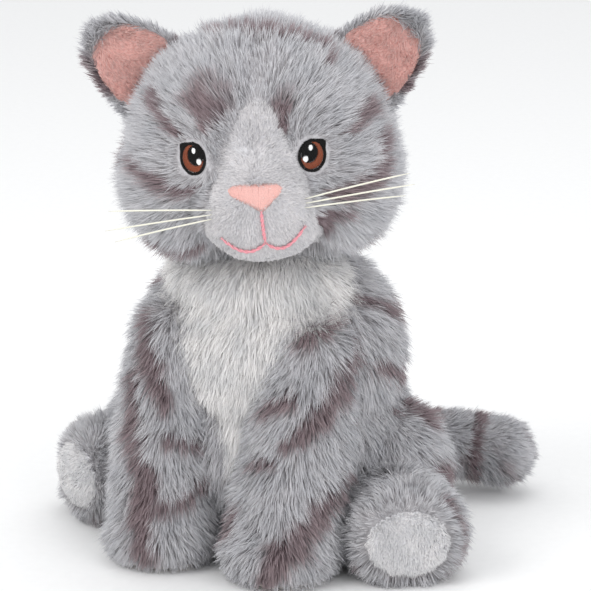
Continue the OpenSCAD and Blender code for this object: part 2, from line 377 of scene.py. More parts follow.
def pile(
    name, p, n, length, comb, lay, width, stripe, seed,
    clump=16, tuft=0.4, drop=0.12, floor=0.3 * MM,
):
    """Blades of pile at points p with skin normals n.

    comb is the way each blade is brushed, lay how far it lies over (0 stands up, 1 lies
    flat), stripe how dark it is. clump is how many blades share a tuft and tuft how tightly.
    drop is how far the tips hang down, and floor is the lowest that they go.
    """
    r = np.random.default_rng(seed)
    count = len(p)
    length = np.broadcast_to(length, count) * (1 + 0.22 * r.normal(size=count)).clip(0.45, 1.5)
    comb = comb - n * np.sum(comb * n, axis=1, keepdims=True)
    comb = norm(comb + 0.3 * np.stack([wobble(p, 24 * MM, seed + k) for k in (1, 2, 3)], 1))
    lay = np.broadcast_to(lay, count)[:, None]
    way = norm(n * (1 - lay) + comb * lay + 0.13 * r.normal(size=(count, 3)))
    tip = way * length[:, None]
    if clump > 1:
        heads = r.permutation(count)[: max(count // clump, 1)]
        tree = KDTree(len(heads))
        for k, h in enumerate(heads):
            tree.insert(p[h], k)
        tree.balance()
        own = heads[np.array([tree.find(q)[1] for q in p])]
        pull = (tuft * r.uniform(0.5, 1.0, count))[:, None]
        tip = tip * (1 - pull) + (p[own] + tip[own] * 1.04 - p) * pull
    tip[:, 2] -= drop * length
    # a blade never dips under the skin it grows from
    up = np.sum(tip * n, axis=1)
    tip += n * np.maximum(0.28 * length - up, 0)[:, None]
    across = norm(np.cross(tip, n + 0.8 * r.normal(size=(count, 3))))
    flat = np.cross(across, tip)
    across *= np.where(np.sum(flat * n, axis=1, keepdims=True) < 0, -1, 1)
    bow = n * (0.16 * length)[:, None]
    foot = p - n * 0.4 * MM  # each blade starts a little under the skin
    half = (width * r.uniform(0.7, 1.25, count) / 2)[:, None]
    rows = []
    for t, w in ((0.0, 1.0), (0.4, 0.85), (0.75, 0.5)):
        mid = foot + tip * t + bow * (4 * t * (1 - t)) * 0.5
        rows += [mid - across * half * w, mid + across * half * w]
    rows.append(foot + tip)
    verts = np.stack(rows, 1).reshape(-1, 3)
    verts[:, 2] = np.maximum(verts[:, 2], floor)
    base = (np.arange(count) * 7)[:, None]
    loops = np.concatenate(
        [base + np.array([[0, 1, 3, 2]]), base + np.array([[2, 3, 5, 4]]), base + [[4, 5, 6]]], 1
    )
    mesh = bpy.data.meshes.new(name)
    mesh.vertices.add(len(verts))
    mesh.vertices.foreach_set("co", verts.astype(np.float32).ravel())
    mesh.loops.add(loops.size)
    mesh.loops.foreach_set("vertex_index", loops.astype(np.int32).ravel())
    mesh.polygons.add(count * 3)
    starts = (np.arange(count) * 11)[:, None] + np.array([[0, 4, 8]])
    mesh.polygons.foreach_set("loop_start", starts.astype(np.int32).ravel())
    mesh.polygons.foreach_set("use_smooth", np.ones(count * 3, bool))
    mesh.update(calc_edges=True)
    mesh.validate()
    shade = norm(n * 0.7 + norm(np.cross(across, tip)) * 0.45)
    mesh.normals_split_custom_set_from_vertices(np.repeat(shade, 7, axis=0))
    set_attribute(mesh, "stripe", np.repeat(stripe, 7))
    set_attribute(mesh, "vary", np.repeat(r.random(count), 7))
    set_attribute(mesh, "along", np.tile([0, 0, 0.4, 0.4, 0.75, 0.75, 1.0], count))
    return link(name, mesh)


# ---- Materials ----


class Nodes:
    """A short way to write a material's node tree."""

    def __init__(self, name, slot=None):
        self.material = bpy.data.materials.new(name)
        self.material.use_nodes = True
        self.tree = self.material.node_tree
        self.tree.nodes.clear()

    def mix(self, fac, a, b, blend="MIX"):
        node = self.tree.nodes.new("ShaderNodeMix")
        node.data_type = "RGBA"
        node.blend_type = blend
        for index, value in ((0, fac), (6, a), (7, b)):
            if isinstance(value, bpy.types.NodeSocket):
                self.tree.links.new(value, node.inputs[index])
            else:
                node.inputs[index].default_value = value
        return node.outputs[2]

    def ramp(self, fac, low, high):
        node = self.tree.nodes.new("ShaderNodeMapRange")
        node.interpolation_type = "SMOOTHSTEP"
        self.tree.links.new(fac, node.inputs[0])
        node.inputs[1].default_value = low
        node.inputs[2].default_value = high
        return node.outputs[0]

    def attribute(self, name):
        node = self.tree.nodes.new("ShaderNodeAttribute")
        node.attribute_name = name
        return node.outputs["Fac"]

    def noise(self, scale, detail):
        node = self.tree.nodes.new("ShaderNodeTexNoise")
        node.inputs["Scale"].default_value = scale
        node.inputs["Detail"].default_value = detail
        place = self.tree.nodes.new("ShaderNodeTexCoord").outputs["Object"]
        self.tree.links.new(place, node.inputs["Vector"])
        return node.outputs["Fac"]

    def bump(self, height, strength, distance):
        node = self.tree.nodes.new("ShaderNodeBump")
        node.inputs["Strength"].default_value = strength
        node.inputs["Distance"].default_value = distance
        self.tree.links.new(height, node.inputs["Height"])
        return node.outputs["Normal"]

    def principled(self, colour, rough, normal=None, sheen=0.0, specular=0.3):
        node = self.tree.nodes.new("ShaderNodeBsdfPrincipled")
        if isinstance(colour, bpy.types.NodeSocket):
            self.tree.links.new(colour, node.inputs["Base Color"])
        else:
            node.inputs["Base Color"].default_value = colour
        node.inputs["Roughness"].default_value = rough
        node.inputs["Specular IOR Level"].default_value = specular
        node.inputs["Sheen Weight"].default_value = sheen
        node.inputs["Sheen Roughness"].default_value = 0.4
        if normal is not None:
            self.tree.links.new(normal, node.inputs["Normal"])
        return node

    def output(self, shader):
        out = self.tree.nodes.new("ShaderNodeOutputMaterial")
        self.tree.links.new(shader, out.inputs["Surface"])
        return self.material


def srgb(r, g, b):
    """A colour given as it looks on a screen, 0 to 255."""
    lin = [c / 255 for c in (r, g, b)]
    lin = [c / 12.92 if c <= 0.04045 else ((c + 0.055) / 1.055) ** 2.4 for c in lin]
    return (*lin, 1.0)


GREY_TIP, GREY_ROOT = srgb(225, 226, 230), srgb(200, 198, 201)
DARK_TIP, DARK_ROOT = srgb(172, 156, 160), srgb(142, 124, 129)
WHITE_TIP, WHITE_ROOT = srgb(252, 252, 253), srgb(244, 244, 247)


def pile_material(name, slot, tip, root, dark_tip=None, dark_root=None, see_through=0.3):
    """Blades of pile: darker at the root, each one a little different, lit through."""
    t = Nodes(name, slot)
    along = t.ramp(t.attribute("along"), 0.0, 0.9)
    colour = t.mix(along, root, tip)
    if dark_tip:
        colour = t.mix(t.attribute("stripe"), colour, t.mix(along, dark_root, dark_tip))
    patchy = t.mix(t.ramp(t.noise(90.0, 4.0), 0.3, 0.7), (0.93, 0.93, 0.93, 1), (1.04, 1.03, 1.02, 1))
    colour = t.mix(1.0, colour, patchy, "MULTIPLY")
    vary = t.mix(t.attribute("vary"), (0.86, 0.86, 0.87, 1), (1.08, 1.07, 1.06, 1))
    colour = t.mix(1.0, colour, vary, "MULTIPLY")
    skin = t.principled(colour, 0.62, sheen=0.25, specular=0.25)
    glow = t.tree.nodes.new("ShaderNodeBsdfTranslucent")
    t.tree.links.new(colour, glow.inputs["Color"])
    both = t.tree.nodes.new("ShaderNodeMixShader")
    both.inputs[0].default_value = see_through
    t.tree.links.new(skin.outputs[0], both.inputs[1])
    t.tree.links.new(glow.outputs[0], both.inputs[2])
    return t.output(both.outputs[0])


def cloth_material(name, slot, light, dark, sheen=0.4, grain=900.0, depth=0.4, stripe=None):
    """Short pile or backing cloth: fine grain, soft patches and a sheen."""
    t = Nodes(name, slot)
    fine = t.noise(grain, 3.0)
    soft = t.noise(60.0, 3.0)
    colour = t.mix(t.ramp(fine, 0.3, 0.7), dark, light)
    colour = t.mix(1.0, colour, t.mix(soft, (0.94, 0.94, 0.94, 1), (1.03, 1.03, 1.03, 1)), "MULTIPLY")
    if stripe:
        colour = t.mix(t.attribute("stripe"), colour, stripe)
    bump = t.bump(fine, depth, 0.3 * MM)
    return t.output(t.principled(colour, 0.85, bump, sheen, 0.2).outputs[0])


def thread_material(name, slot, colour, shine=0.5, tone=0.82, gloss=0.5):
    """Rayon thread: fine strands along it with a soft shine."""
    t = Nodes(name, slot)
    strands = t.noise(2600.0, 2.0)
    dark = tuple(c * tone for c in colour[:3]) + (1.0,)
    c = t.mix(t.ramp(strands, 0.35, 0.65), dark, colour)
    bump = t.bump(strands, 0.35, 0.12 * MM)
    return t.output(t.principled(c, 0.62 - 0.35 * shine, bump, 0.3 * gloss, gloss).outputs[0])


LONG, WHITE, SHORT, PINK = "tabby_long_pile", "white_long_pile", "white_short_pile", "pink_plush"
TABBY = pile_material("tabby_pile", LONG, GREY_TIP, GREY_ROOT, DARK_TIP, DARK_ROOT)
WHITE_LONG = pile_material(
    "white_long_pile", WHITE, srgb(255, 255, 255), srgb(252, 252, 253), see_through=0.35
)
WHITE_SHORT = pile_material("white_short_pile", SHORT, WHITE_TIP, WHITE_ROOT, see_through=0.2)
# The face gets darker copies of the white short pile and white velour: painted shade, which dims the
# face where the lights from above fall most on the head.
SHADED_FACE_PILE = pile_material(
    "face_pile_painted_shade", SHORT, srgb(233, 232, 234), srgb(224, 223, 226), see_through=0.2
)
PINK_SHORT = pile_material("pink_short_pile", PINK, srgb(253, 222, 216), srgb(249, 208, 201))
TABBY_CLOTH = cloth_material(
    "tabby_backing", LONG, GREY_ROOT, srgb(178, 176, 179), stripe=srgb(118, 100, 103)
)
WHITE_CLOTH = cloth_material("white_backing", WHITE, srgb(240, 240, 243), srgb(228, 228, 232))
VELOUR = cloth_material("white_velour", SHORT, srgb(250, 250, 252), srgb(238, 238, 241), 0.6)
# a darker copy of the white velour: painted shade on the face
SHADED_FACE_VELOUR = cloth_material("face_velour_painted_shade", SHORT, srgb(231, 230, 233), srgb(219, 218, 222), 0.6)
PINK_CLOTH = cloth_material("pink_backing", PINK, srgb(248, 208, 201), srgb(240, 194, 187), 0.6)
SOLE_CLOTH = cloth_material("sole_cloth", "base_cloth", srgb(222, 212, 204), srgb(200, 188, 180), 0.3)
FILLING = cloth_material(
    "fibre_filling", "fibre_filling", srgb(244, 242, 236), srgb(214, 212, 206), 0.3, 300.0
)
POUCH = cloth_material("pouch_cotton", None, srgb(232, 230, 224), srgb(206, 204, 198), 0.2, 1500.0)
PELLETS = cloth_material("pellets", None, srgb(224, 228, 234), srgb(186, 190, 198), 0.1, 400.0, 1.0)
BLACK_THREAD = thread_material("black_thread", "black_thread", srgb(14, 11, 11), 0.25, 0.5, 0.2)
BROWN_THREAD = thread_material("brown_thread", "brown_thread", srgb(142, 66, 30), 0.7, 0.6)
WHITE_THREAD = thread_material("white_thread", "white_thread", srgb(250, 250, 250), 0.6, 0.9)
PINK_THREAD = thread_material("pink_thread", "pink_thread", srgb(238, 186, 178), 0.5, 0.86)
ROSE_THREAD = thread_material("rose_thread", "pink_thread", srgb(238, 158, 168), 0.5, 0.88)
GREY_THREAD = thread_material("grey_thread", None, srgb(160, 160, 162), 0.3)
WAX_THREAD = thread_material("waxed_thread", "whisker_thread", srgb(238, 236, 220), 0.6, 0.92)


def dress(obj, material, body, *nodes):
    """Gives a piece its material and its body, and hides the CAD nodes it stands for."""
    obj.data.materials.clear()
    obj.data.materials.append(material)
    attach(obj, body)
    if nodes:
        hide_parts(*nodes)
    return obj


def paint_skin(obj, strokes):
    """Puts the stripes on the backing cloth too, so that gaps in the pile match."""
    set_attribute(obj.data, "stripe", strokes_mask(coords(obj.data), strokes))


def thin(count):
    return count


# ---- Body ----


def flatten(mesh, floor):
    """Rests a skin on the floor: what would be lower is flat."""
    v = coords(mesh)
    v[:, 2] = np.maximum(v[:, 2], floor)
    set_coords(mesh, v)


def brushed_down(p, n, out=0.25):
    way = np.zeros_like(p)
    way[:, 2] = -1.0
    return way + out * n


def build_body():
    y0 = BODY_MID[1]
    belly = np.array([0, y0, 0.046])
    chest = np.array([0, y0 - 0.008, 0.086])
    balls = [
        (belly, np.array([57.5, 54, 49]) * MM),
        (belly + [0, 0.006, -0.012], np.array([53, 51, 40]) * MM),
        (chest + [0.0025, 0, 0], np.array([54.5, 44, 48]) * MM),
        (NECK + [0.001, 0.002, -0.012], np.array([38, 32, 21]) * MM),
    ]
    skin = blob("body_skin", balls, 3.0 * MM, 10)
    flatten(skin, 1.0 * MM)
    mids = face_middles(skin)
    half = 39 * smoothstep(44 * MM, 112 * MM, mids[:, 2]) * MM
    bib = (mids[:, 1] < y0 - 0.016) & (np.abs(mids[:, 0] - 3 * MM) < half)
    base = mids[:, 2] < 1.6 * MM
    label = np.where(mids[:, 0] > 0, 0, 1)
    label[bib] = 2
    label[base] = 3
    stuff(skin, label, 1.5 * MM)
    flatten(skin, 1.0 * MM)
    filling = inset_copy(skin, "body_filling", 2.4 * MM)
    dress(filling, FILLING, "body", "body_stuffing")
    crease(skin, label, 1.2 * MM)
    names = ("body_side_left_cloth", "body_side_right_cloth", "bib_cloth", "base_cloth")
    panels = split(skin, label, dict(enumerate(names)))
    tree = tree_of(skin)

    def axis(z):
        return (0, y0, min(z, 118) * MM)

    bars = [
        [(58, 116, 1.5), (96, 104, 4), (140, 107, 3), (166, 116, 1)],
        [(64, 90, 1.5), (100, 77, 4.5), (146, 82, 3), (172, 92, 1)],
        [(84, 64, 1.5), (116, 51, 4.5), (150, 56, 3), (173, 66, 1)],
        [(98, 38, 1.5), (126, 28, 4), (152, 33, 3), (172, 42, 1)],
    ]
    strokes = ring_strokes(tree, axis, bars + mirrored(bars))
    strokes.append(ring_strokes(tree, axis, [[(180, 118, 4), (180, 30, 5)]])[0])
    for key in (0, 1):
        name = f"body_side_{'left' if key == 0 else 'right'}"
        paint_skin(panels[key], strokes)
        dress(panels[key], TABBY_CLOTH, "body", name)
        p, n = scatter(panels[key].data, thin(MOST_BLADES), 30 + key)
        keep = (p[:, 2] > 4 * MM) | (n[:, 2] > -0.3)
        p, n = p[keep], n[keep]
        low = smoothstep(0, 16 * MM, p[:, 2])
        length = PILE * (0.6 + 0.4 * low)
        mask = strokes_mask(p, strokes)
        fur = pile(f"{name}_pile", p, n, length, brushed_down(p, n), 0.5, BLADE, mask, 40 + key)
        dress(fur, TABBY, "body")
    dress(panels[2], WHITE_CLOTH, "body", "chest_bib")
    p, n = scatter(panels[2].data, thin(36000), 33)
    fur = pile(
        "chest_bib_pile", p, n, PILE, brushed_down(p, n), 0.6, BIB_BLADE,
        np.zeros(len(p)), 43, tuft=0.12,
    )
    dress(fur, WHITE_LONG, "body")
    dress(panels[3], SOLE_CLOTH, "body", "base_panel")


# ---- Head ----

FACE_EDGE = [  # half width of the white of the face at each height, in head space, mm
    (23.5, 0), (22, 4.5), (19.5, 7), (12.5, 9.7), (1.5, 15), (-9, 18.5), (-20, 21.5), (-32, 24),
    (-40, 22), (-48, 0),
]
EYE_AT = np.array([24.3, 0.9])  # across and up, mm
FACE_MID = 2.8  # the blaze, nose and mouth sit this far to the kitten's left, mm


def face_half_width(z):
    heights = [h for h, _ in FACE_EDGE][::-1]
    widths = [w for _, w in FACE_EDGE][::-1]
    return np.interp(z, heights, widths, left=0, right=0)


def in_face(q):
    """Which points in head space are on the white of the face."""
    return (np.abs(q[:, 0] / MM - FACE_MID) < face_half_width(q[:, 2] / MM)) & (q[:, 1] < -0.018)


def gusset_gap(q):
    """How far outside the seams of the middle head panel points in head space are."""
    across = np.abs(q[:, 0] - FACE_MID * MM * (q[:, 1] < 0))
    half = np.where(
        q[:, 1] < 0, np.interp(q[:, 2] / MM, [21.5, 23.5, 42], [-9, 6, 24]), 24.0
    ) * MM
    return across - half


def head_spot(tree, across, up):
    """Point in head space where the face is, from places across and up in mm."""
    hit = tree.ray_cast(Vector((across * MM, -0.12, up * MM)), Vector((0, 1, 0)))
    return np.array(hit[0]), np.array(hit[1])


def head_strokes(tree, rows):
    """Strokes from [(turn, rise, half width), ...] in degrees round the middle of the head."""
    out = []
    for row in rows:
        stroke = []
        for a, e, w in finer(row, lambda turn: 4):
            a, e = math.radians(a), math.radians(e)
            way = (math.sin(a) * math.cos(e), -math.cos(a) * math.cos(e), math.sin(e))
            stroke.append((spot_on(tree, (0, 0, 0), way), w * MM))
        out.append(stroke)
    return out


def build_head():
    a, b, c = HEAD_R
    balls = [
        ((0, 0, 0), (a - 1 * MM, b, c)),
        ((26 * MM, -7 * MM, -12.5 * MM), (28.5 * MM, 33 * MM, 31 * MM)),
        ((-26 * MM, -7 * MM, -12.5 * MM), (28.5 * MM, 33 * MM, 31 * MM)),
        ((2.5 * MM, -35 * MM, -21.5 * MM), (26.5 * MM, 21 * MM, 21.5 * MM)),
        ((2 * MM, -32 * MM, -6 * MM), (13 * MM, 20 * MM, 14 * MM)),
    ]
    skin = blob("head_skin", balls, 2.0 * MM, 9)
    tree = tree_of(skin)
    q = face_middles(skin)
    label = np.where(q[:, 0] > 0, 0, 1)
    label[gusset_gap(q) < 0] = 2
    label[in_face(q)] = 3
    stuff(skin, label, 1.0 * MM)
    filling = inset_copy(skin, "head_filling", 2.2 * MM)
    filling.data.transform(HEAD)
    dress(filling, FILLING, "head", "head_stuffing")
    crease(skin, label, 0.9 * MM)
    rows = [
        [(-100, -2, 4), (-76, -4, 4)],
        [(-100, -30, 3.5), (-66, -38, 3.5), (-44, -44, 3)],
        [(66, -42, 3), (92, -30, 3.5)],
        [(-86, 26, 3), (-110, 30, 4)],
        [(86, 24, 4), (110, 30, 4)],
        [(-75, 66, 2.2), (-20, 75, 2.2), (40, 68, 2.2), (62, 52, 2.4)],
        [(138, 42, 1.2), (160, 56, 3), (180, 60, 3.4), (200, 56, 3), (222, 42, 1.2)],
    ]
    back_rows = [
        [(112, 8, 1.2), (136, 22, 3.2), (160, 30, 3.4), (176, 36, 1)],
        [(106, -22, 1.2), (132, -8, 3.2), (158, 0, 3.4), (176, 6, 1)],
    ]
    face_rows = [
        [(-16.2, 10, 1.2), (-16.2, 15.5, 4.2), (-16.2, 21, 8.0)],
        [(12.3, 7.5, 1.2), (13.5, 14.5, 2.4), (13, 19.5, 4.0)],
        [(-38, 21.5, 3), (-34.9, 17.5, 2.6), (-28.5, 9.5, 1.6)],
        [(44, 13.5, 4), (40, 11.5, 3.6), (36, 7.5, 2.4)],
        [(48, 3.5, 3), (47.5, -5.5, 3), (45, -11.5, 3), (33, -14.7, 2.8), (27, -15.5, 2.0)],
        [(34, -21.5, 2.2), (27, -24.5, 3), (27, -32.5, 3)],
        [(-47, -3.5, 2.4), (-37, -8.5, 2.6), (-28, -11.5, 2.2), (-21.4, -10.1, 1.4)],
        [(7, 45, 1.2), (15.6, 42.6, 1.6), (26.4, 38.2, 1.8), (29.8, 34.8, 1.8), (28.6, 31, 1.2)],
    ]
    strokes = head_strokes(tree, rows + back_rows + mirrored(back_rows))
    for row in face_rows:
        strokes.append([(head_spot(tree, x, z)[0], w * MM) for x, z, w in row])
    names = ("head_side_left_cloth", "head_side_right_cloth", "head_gusset_cloth", "face_cloth")
    panels = split(skin, label, dict(enumerate(names)))
    eyes = [np.array([side * EYE_AT[0], EYE_AT[1]]) * MM for side in (LEFT, RIGHT)]

    def eye_gap(p):
        return np.min(
            [np.hypot((p[:, 0] - e[0]) / 0.82, p[:, 2] - e[1]) + (p[:, 1] > 0) for e in eyes], axis=0
        )

    for key, node in ((0, "head_side_left"), (1, "head_side_right"), (2, "head_gusset")):
        obj = panels[key]
        paint_skin(obj, strokes)
        p, n = scatter(obj.data, thin((MOST_BLADES, MOST_BLADES, 24000)[key]), 60 + key)
        keep = (eye_gap(p) > 7.9 * MM) & ~in_face(p)
        p, n = p[keep], n[keep]
        away = p - np.array([0, -52, -12]) * MM
        comb = norm(away) + [0, 0.5, -0.05]
        gap = smoothstep(7 * MM, 17 * MM, eye_gap(p))
        # round the eyes the pile is brushed away from them
        near, far = ([[e[0], -0.05, e[1]]] for e in eyes)
        from_eye = norm(p - np.where(p[:, :1] > 0, near, far))
        comb = comb + from_eye * 2.4 * (1 - gap)[:, None]
        edge = np.abs(p[:, 0] / MM - FACE_MID) - face_half_width(p[:, 2] / MM)
        near_face = np.where(p[:, 1] < -0.02, smoothstep(0, 9, edge), 1.0)
        length = PILE * (0.42 + 0.58 * np.minimum(gap, near_face))
        seam = np.exp(-((gusset_gap(p) / (1.6 * MM)) ** 2))
        length = length * (1 - 0.35 * seam)
        mask = strokes_mask(p, strokes)
        fur = pile(
            f"{node}_pile", p, n, length, comb, 0.5, FINE_BLADE, mask, 70 + key,
            drop=0.06, floor=NO_FLOOR,
        )
        for piece in (obj, fur):
            piece.data.transform(HEAD)
        dress(obj, TABBY_CLOTH, "head", node)
        dress(fur, TABBY, "head")
    obj = panels[3]
    p, n = scatter(obj.data, thin(MOST_BLADES), 64)
    keep = in_face(p)
    p, n = p[keep], n[keep]
    comb = norm(p - np.array([0, -58, -8]) * MM) + [0, 0, -0.2]
    fur = pile(
        "face_pile", p, n, 2.0 * MM, comb, 0.6, BLADE, np.zeros(len(p)), 74, 1, 0.0, 0.0, NO_FLOOR
    )
    for piece in (obj, fur):
        piece.data.transform(HEAD)
    # the face's cloth and pile take the darker copies of the white: painted shade
    dress(obj, SHADED_FACE_VELOUR, "head", "face_panel")
    dress(fur, SHADED_FACE_PILE, "head")
    return tree


# ---- Stitching ----


def tubes(name, paths, radius, sides=6):
    """Threads: closed tubes that thin towards both ends."""
    verts, faces = [], []
    for path in paths:
        path = np.asarray(path, float)
        run = norm(np.gradient(path, axis=0))
        ref = np.array([0.0, 0.0, 1.0]) if abs(run[0][2]) < 0.8 else np.array([1.0, 0.0, 0.0])
        u = norm(np.cross(run, ref))
        w = norm(np.cross(run, u))
        t = np.linspace(0, 1, len(path))
        r = radius * (0.35 + 0.65 * np.minimum(1, 6 * np.minimum(t, 1 - t)))
        base = len(verts)
        for i in range(len(path)):
            for k in range(sides):
                a = 2 * math.pi * k / sides
                verts.append(path[i] + r[i] * (math.cos(a) * u[i] + math.sin(a) * w[i]))
        for i in range(len(path) - 1):
            for k in range(sides):
                k2 = (k + 1) % sides
                a, b = base + i * sides, base + (i + 1) * sides
                faces.append((a + k, a + k2, b + k2, b + k))
        faces.append(tuple(base + k for k in reversed(range(sides))))
        last = base + (len(path) - 1) * sides
        faces.append(tuple(last + k for k in range(sides)))
    obj = new_object(name, verts, faces)
    smooth(obj.data)
    return obj


def spans(outline, height):
    """The stretches of a level line inside a closed outline of (x, y) points."""
    cuts = []
    for (x0, y0), (x1, y1) in zip(outline, outline[1:] + outline[:1]):
        if (y0 <= height) != (y1 <= height):
            cuts.append(x0 + (height - y0) / (y1 - y0) * (x1 - x0))
    cuts.sort()
    return list(zip(cuts[::2], cuts[1::2]))


def satin(name, tree, outline, holes, angle, pitch, radius, lift, crown=0.35):
    """Fills an outline on the face (across, up in mm) with laid stitches."""
    ca, sa = math.cos(math.radians(angle)), math.sin(math.radians(angle))

    def turned(pts):
        return [(x * ca + y * sa, -x * sa + y * ca) for x, y in pts]

    shape = turned(outline)
    gaps = [turned(h) for h in holes]
    low, high = min(y for _, y in shape), max(y for _, y in shape)
    paths = []
    r = np.random.default_rng(7)
    for k in range(int((high - low) / pitch)):
        h = low + (k + 0.5) * pitch
        for x0, x1 in spans(shape, h):
            parts = [(x0, x1)]
            for gap in gaps:
                for g0, g1 in spans(gap, h):
                    parts = [
                        q
                        for a, b in parts
                        for q in ((a, min(b, g0)), (max(a, g1), b))
                        if q[1] - q[0] > 0.25
                    ]
            for a, b in parts:
                path = []
                for t in np.linspace(0, 1, 7):
                    x, y = a + (b - a) * t, h + 0.03 * r.normal()
                    hit, n = head_spot(tree, x * ca - y * sa, x * sa + y * ca)
                    rise = lift + crown * 4 * t * (1 - t) * min(1, (b - a) / 4)
                    path.append(hit + n * rise * MM)
                paths.append(path)
    obj = tubes(name, paths, radius * MM, 5)
    obj.data.transform(HEAD)
    return obj


def oval(cx, cy, w, h, n=28):
    return [
        (cx + w / 2 * math.cos(2 * math.pi * i / n), cy + h / 2 * math.sin(2 * math.pi * i / n))
        for i in range(n)
    ]


def build_eye(tree, side):
    cx, cy = EYE_AT[0] * side, EYE_AT[1]
    w, h = 11.3, 13.9
    rim = oval(cx, cy, w, h, 36)
    # the black outline runs out into a short lash at its upper outer corner
    lash = []
    for x, y in rim:
        angle = math.degrees(math.atan2(y - cy, (x - cx) * side))
        pull = max(0.0, 1 - abs(angle - 48) / 26)
        lash.append((x + side * 1.4 * pull, y + 1.1 * pull))
    inner = oval(cx, cy, w - 2.4, h - 2.6, 32)
    pupil = oval(cx - side * 1.2, cy + 1.4, 6.6, 8.4, 28)
    glints = [
        oval(cx - side * 0.6, cy + 3.4, 1.8, 2.3, 16),
        oval(cx - side * 2.7, cy - 0.9, 2.3, 2.5, 16),
    ]
    s = SIDE[side]
    layers = (
        ("outline", BLACK_THREAD, [lash], [inner], 20 * side, 0.1),
        ("iris", BROWN_THREAD, [inner], [pupil], -35 * side, 0.12),
        ("pupil", BLACK_THREAD, [pupil], glints, 90, 0.25),
    )
    for layer, material, (outline,), holes, angle, lift in layers:
        obj = satin(f"eye_{layer}_{s}_stitches", tree, outline, holes, angle, 0.42, 0.3, lift, 0.3)
        dress(obj, material, "head", f"eye_{layer}_{s}")
    for i, glint in enumerate(glints):
        obj = satin(f"glint_{i}_{s}", tree, glint, [], 0, 0.36, 0.27, 0.45, 0.25)
        dress(obj, WHITE_THREAD, "head", *([f"eye_glints_{s}"] if i == 0 else []))


def build_nose_and_mouth(tree):
    nose = [
        (-9.6, -10.6), (-7.5, -9.0), (-3.0, -8.0), (1.5, -7.7), (6.0, -7.7), (10.2, -8.4),
        (12.2, -10.0), (11.4, -12.4), (8.0, -15.6), (5.2, -18.3), (4.2, -18.8), (3.0, -18.3),
        (-1.0, -16.0), (-8.2, -13.0),
    ]
    obj = satin("nose_stitches", tree, nose, [], 90, 0.44, 0.32, 0.5, 0.7)
    dress(obj, PINK_THREAD, "head", "nose_stitching")
    low = (4.8, -31.2)
    stem = [(3.9 + 0.9 * t, -18.2 - 13.0 * t) for t in np.linspace(0, 1, 8)]
    sides = []
    for across, rise, dip in ((-17.8, 1.6, 4.6), (15.8, 5.6, 4.4)):
        sides.append(
            [
                (low[0] + across * t, low[1] + rise * t**1.6 - dip * math.sin(math.pi * t**0.9))
                for t in np.linspace(0, 1, 14)
            ]
        )
    paths = []
    for line in [stem] + sides:
        path = []
        for x, y in line:
            hit, n = head_spot(tree, x, y)
            path.append(hit + n * 1.15 * MM)
        path = np.array(path)
        # two plies twisted round each other
        fine = np.array([np.interp(np.linspace(0, 1, 60), np.linspace(0, 1, len(path)), path[:, k])
                         for k in range(3)]).T
        run = norm(np.gradient(fine, axis=0))
        u = norm(np.cross(run, [0, 1, 0]))
        w = np.cross(run, u)
        for ply in (0, math.pi):
            a = np.linspace(0, 22, 60)[:, None] + ply
            paths.append(fine + 0.34 * MM * (np.cos(a) * u + np.sin(a) * w))
    obj = tubes("mouth_stitches", paths, 0.45 * MM, 6)
    obj.data.transform(HEAD)
    dress(obj, ROSE_THREAD, "head", "mouth_stitching")


def build_whiskers(tree):
    rows = ("top", "middle", "bottom")
    for side in (LEFT, RIGHT):
        for k, row in enumerate(rows):
            start = 20.3 if side == LEFT else -15.8
            root, n = head_spot(tree, start, (-15.4 if side == LEFT else -18.8) - 1.7 * k)
            length = (45, 47, 43)[k] * MM
            rise = (0.22, 0.15, 0.1)[k] if side == LEFT else (0.02, -0.12, -0.2)[k]
            path = []
            for t in np.linspace(0, 1, 16):
                out = length * t
                path.append(
                    root
                    + np.array([side * out * 0.97, -out * 0.16 + out * t * 0.22,
                                out * rise - 3.2 * MM * t * t + 2.4 * MM * t])
                    - n * 2 * MM * (t == 0)
                )
            name = f"whisker_{SIDE[side]}_{row}"
            obj = tubes(f"{name}_thread", [path], 0.36 * MM, 6)
            obj.data.transform(HEAD)
            dress(obj, WAX_THREAD, "head", name)


# ---- Ears ----


